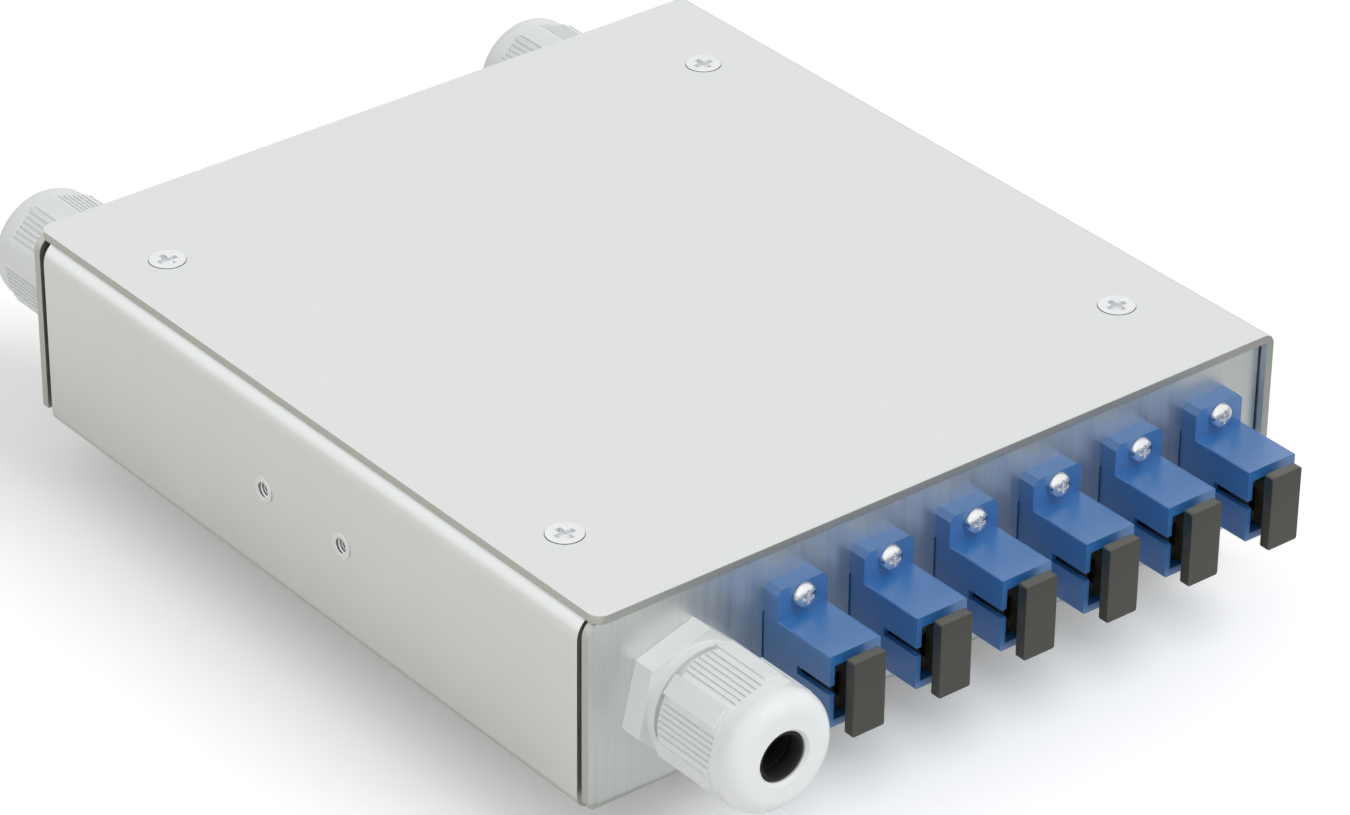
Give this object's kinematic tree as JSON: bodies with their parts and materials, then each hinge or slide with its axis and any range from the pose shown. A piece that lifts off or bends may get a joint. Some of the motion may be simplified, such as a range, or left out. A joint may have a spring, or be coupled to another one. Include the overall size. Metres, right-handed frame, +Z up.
{
  "type": "din rail fibre box",
  "caption": "Slim folded-steel fibre termination box for a top-hat rail, with a row of capped square-port couplers and cable glands front and rear.",
  "frame": {"origin": "on the top face of the rail, at the middle of the rail clip", "axes": "+X to the right seen from the couplers' side, +Y to the rear, +Z up, away from the rail"},
  "size_m": [0.1307, 0.1888, 0.0428],
  "materials": {
    "case_steel": "brushed stainless sheet, satin",
    "zinc": "bright zinc plate",
    "adapter_blue": "moulded, fine matt",
    "latch_white": "moulded, matt",
    "bronze": "rolled, satin",
    "cap_grey": "moulded, matt",
    "gland_grey": "moulded, semi-gloss",
    "seal_black": "soft matt",
    "comb_white": "moulded, matt",
    "clip_black": "moulded, matt",
    "clip_grey": "moulded, matt",
    "spring_steel": "drawn wire"
  },
  "bodies": {
    "case": {"base_tray": "case_steel", "top_cover": "case_steel", "cover_screws": "zinc", "cover_nuts": "zinc", "side_inserts": "zinc", "adapter_latches": "latch_white", "alignment_sleeves": "bronze", "adapter_screws": "zinc", "adapter_nuts": "zinc", "inner_caps": "cap_grey", "gland_seals": "seal_black", "gland_locknuts": "gland_grey", "splice_comb": "comb_white", "fibre_clips": "comb_white", "cable_posts": "zinc", "rail_clip": "clip_black", "latch_spring": "spring_steel", "clip_screws": "zinc", "clip_nuts": "zinc", "adapter_housing_1": "adapter_blue", "adapter_housing_2": "adapter_blue", "adapter_housing_3": "adapter_blue", "adapter_housing_4": "adapter_blue", "adapter_housing_5": "adapter_blue", "adapter_housing_6": "adapter_blue", "gland_body_front": "gland_grey", "gland_body_rear_left": "gland_grey", "gland_body_rear_right": "gland_grey"},
    "cap_1": {"dust_cap_1": "cap_grey"},
    "cap_2": {"dust_cap_2": "cap_grey"},
    "cap_3": {"dust_cap_3": "cap_grey"},
    "cap_4": {"dust_cap_4": "cap_grey"},
    "cap_5": {"dust_cap_5": "cap_grey"},
    "cap_6": {"dust_cap_6": "cap_grey"},
    "nut_front": {"gland_nut_front": "gland_grey"},
    "nut_rear_left": {"gland_nut_rear_left": "gland_grey"},
    "nut_rear_right": {"gland_nut_rear_right": "gland_grey"},
    "latch": {"rail_latch": "clip_grey"}
  },
  "joints": [
    {"name": "cap_1_pull", "type": "slide", "parent": "case", "child": "cap_1", "axis": [0, -1, 0], "range_m": [0, 0.012]},
    {"name": "cap_2_pull", "type": "slide", "parent": "case", "child": "cap_2", "axis": [0, -1, 0], "range_m": [0, 0.012]},
    {"name": "cap_3_pull", "type": "slide", "parent": "case", "child": "cap_3", "axis": [0, -1, 0], "range_m": [0, 0.012]},
    {"name": "cap_4_pull", "type": "slide", "parent": "case", "child": "cap_4", "axis": [0, -1, 0], "range_m": [0, 0.012]},
    {"name": "cap_5_pull", "type": "slide", "parent": "case", "child": "cap_5", "axis": [0, -1, 0], "range_m": [0, 0.012]},
    {"name": "cap_6_pull", "type": "slide", "parent": "case", "child": "cap_6", "axis": [0, -1, 0], "range_m": [0, 0.012]},
    {"name": "nut_front_turn", "type": "hinge", "parent": "case", "child": "nut_front", "pos_m": [-0.0491, -0.0764, 0.0213], "axis": [0, -1, 0], "continuous": true},
    {"name": "nut_rear_left_turn", "type": "hinge", "parent": "case", "child": "nut_rear_left", "pos_m": [-0.0495, 0.0784, 0.0213], "axis": [0, 1, 0], "continuous": true},
    {"name": "nut_rear_right_turn", "type": "hinge", "parent": "case", "child": "nut_rear_right", "pos_m": [0.048, 0.0784, 0.0213], "axis": [0, 1, 0], "continuous": true},
    {"name": "latch_pull", "type": "slide", "parent": "case", "child": "latch", "axis": [0, -1, 0], "range_m": [0, 0.003], "stiffness_N_per_m": 1500, "springref_m": -0.002, "deforming": ["latch_spring"]}
  ]
}
